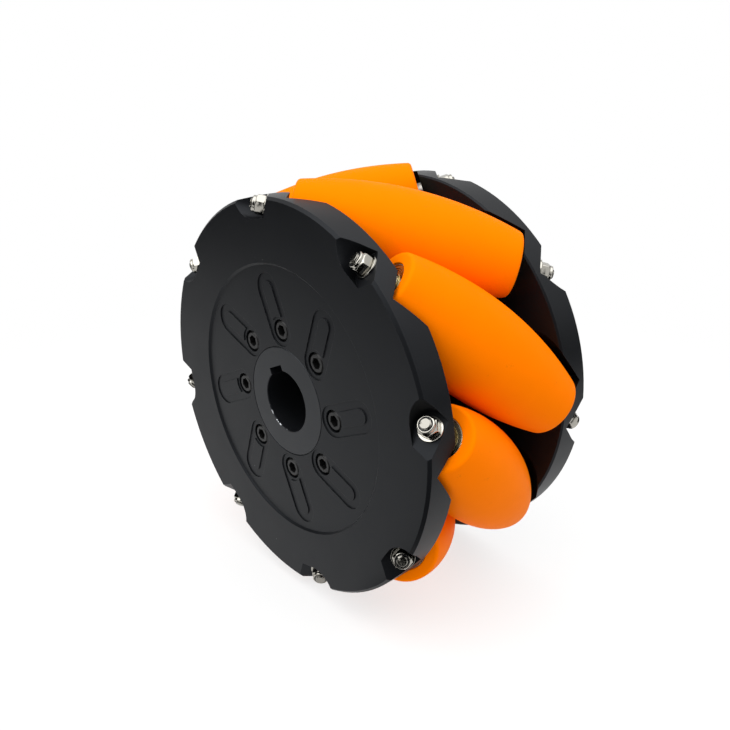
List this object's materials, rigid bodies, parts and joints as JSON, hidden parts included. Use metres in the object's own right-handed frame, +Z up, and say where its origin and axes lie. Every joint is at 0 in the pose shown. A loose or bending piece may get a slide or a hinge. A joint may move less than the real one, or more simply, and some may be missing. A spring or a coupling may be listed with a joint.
{
  "type": "mecanum wheel",
  "caption": "Omnidirectional wheel: barrel rollers with orange tyres, slanted at 45 degrees, between milled black side plates on a keyed hub.",
  "frame": {"origin": "centre of the wheel, on the shaft's axis halfway between the side plates", "axes": "+Y along the shaft from the near plate to the far plate, +Z up, X across the wheel"},
  "size_m": [0.2032, 0.1052, 0.2032],
  "materials": {
    "black_anodised": "satin black anodised, milled and turned",
    "orange_polyurethane": "satin, moulded and ground to its barrel",
    "stainless_steel": "bright, rolled threads",
    "black_steel": "black oxide, satin",
    "bearing_steel": "ground",
    "shield_steel": "pressed sheet, pale",
    "plain_steel": "turned",
    "white_nylon": "moulded"
  },
  "bodies": {
    "wheel": {"hub": "black_anodised", "near_plate": "black_anodised", "far_plate": "black_anodised", "near_plate_screws": "black_steel", "far_plate_screws": "black_steel", "near_washers": "stainless_steel", "far_washers": "stainless_steel", "near_nuts": "stainless_steel", "far_nuts": "stainless_steel", "bearing_inner_rings": "bearing_steel", "inner_spacers": "plain_steel", "end_spacers": "plain_steel", "axle_1": "stainless_steel", "axle_2": "stainless_steel", "axle_3": "stainless_steel", "axle_4": "stainless_steel", "axle_5": "stainless_steel", "axle_6": "stainless_steel", "axle_7": "stainless_steel", "axle_8": "stainless_steel"},
    "roller_1": {"roller_tyre_1": "orange_polyurethane", "roller_core_1": "white_nylon", "bearing_outer_rings_1": "bearing_steel", "bearing_balls_1": "bearing_steel", "bearing_shields_1": "shield_steel"},
    "roller_2": {"roller_tyre_2": "orange_polyurethane", "roller_core_2": "white_nylon", "bearing_outer_rings_2": "bearing_steel", "bearing_balls_2": "bearing_steel", "bearing_shields_2": "shield_steel"},
    "roller_3": {"roller_tyre_3": "orange_polyurethane", "roller_core_3": "white_nylon", "bearing_outer_rings_3": "bearing_steel", "bearing_balls_3": "bearing_steel", "bearing_shields_3": "shield_steel"},
    "roller_4": {"roller_tyre_4": "orange_polyurethane", "roller_core_4": "white_nylon", "bearing_outer_rings_4": "bearing_steel", "bearing_balls_4": "bearing_steel", "bearing_shields_4": "shield_steel"},
    "roller_5": {"roller_tyre_5": "orange_polyurethane", "roller_core_5": "white_nylon", "bearing_outer_rings_5": "bearing_steel", "bearing_balls_5": "bearing_steel", "bearing_shields_5": "shield_steel"},
    "roller_6": {"roller_tyre_6": "orange_polyurethane", "roller_core_6": "white_nylon", "bearing_outer_rings_6": "bearing_steel", "bearing_balls_6": "bearing_steel", "bearing_shields_6": "shield_steel"},
    "roller_7": {"roller_tyre_7": "orange_polyurethane", "roller_core_7": "white_nylon", "bearing_outer_rings_7": "bearing_steel", "bearing_balls_7": "bearing_steel", "bearing_shields_7": "shield_steel"},
    "roller_8": {"roller_tyre_8": "orange_polyurethane", "roller_core_8": "white_nylon", "bearing_outer_rings_8": "bearing_steel", "bearing_balls_8": "bearing_steel", "bearing_shields_8": "shield_steel"}
  },
  "joints": [
    {"name": "roller_1_spin", "type": "hinge", "parent": "wheel", "child": "roller_1", "pos_m": [-0.03483, 0, 0.07079], "axis": [0.6345, 0.7071, 0.3122], "continuous": true},
    {"name": "roller_2_spin", "type": "hinge", "parent": "wheel", "child": "roller_2", "pos_m": [-0.07469, 0, 0.02543], "axis": [0.2279, 0.7071, 0.6694], "continuous": true},
    {"name": "roller_3_spin", "type": "hinge", "parent": "wheel", "child": "roller_3", "pos_m": [-0.07079, 0, -0.03483], "axis": [-0.3122, 0.7071, 0.6345], "continuous": true},
    {"name": "roller_4_spin", "type": "hinge", "parent": "wheel", "child": "roller_4", "pos_m": [-0.02543, 0, -0.07469], "axis": [-0.6694, 0.7071, 0.2279], "continuous": true},
    {"name": "roller_5_spin", "type": "hinge", "parent": "wheel", "child": "roller_5", "pos_m": [0.03483, 0, -0.07079], "axis": [-0.6345, 0.7071, -0.3122], "continuous": true},
    {"name": "roller_6_spin", "type": "hinge", "parent": "wheel", "child": "roller_6", "pos_m": [0.07469, 0, -0.02543], "axis": [-0.2279, 0.7071, -0.6694], "continuous": true},
    {"name": "roller_7_spin", "type": "hinge", "parent": "wheel", "child": "roller_7", "pos_m": [0.07079, 0, 0.03483], "axis": [0.3122, 0.7071, -0.6345], "continuous": true},
    {"name": "roller_8_spin", "type": "hinge", "parent": "wheel", "child": "roller_8", "pos_m": [0.02543, 0, 0.07469], "axis": [0.6694, 0.7071, -0.2279], "continuous": true}
  ]
}
